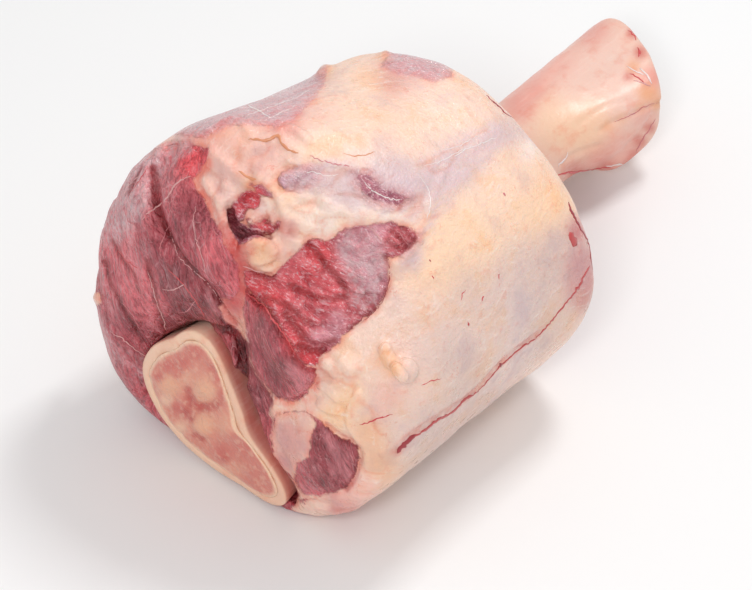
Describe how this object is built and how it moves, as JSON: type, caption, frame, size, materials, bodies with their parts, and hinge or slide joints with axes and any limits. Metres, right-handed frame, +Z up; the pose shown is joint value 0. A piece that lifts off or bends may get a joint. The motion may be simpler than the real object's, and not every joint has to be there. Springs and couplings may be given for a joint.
{
  "type": "raw beef leg joint",
  "caption": "Raw beef leg joint lying on its side: a barrel of muscle and fat around one leg bone, sawn flush at the near end and with its bare knuckle at the far end.",
  "frame": {"origin": "middle of the whole joint's bounding box, at the underside it rests on", "axes": "+X along the bone from the sawn cut face to the bare knuckle, +Y across the joint towards the side where the bone lies, +Z up"},
  "size_m": [0.3112, 0.1708, 0.1716],
  "materials": {
    "meat": "moist raw muscle and fat",
    "bone": "moist bare bone, satin",
    "marrow": "soft sawn marrow, satin"
  },
  "bodies": {
    "root": {"meat": "meat", "shin_bone": "bone", "marrow": "marrow"}
  },
  "joints": []
}
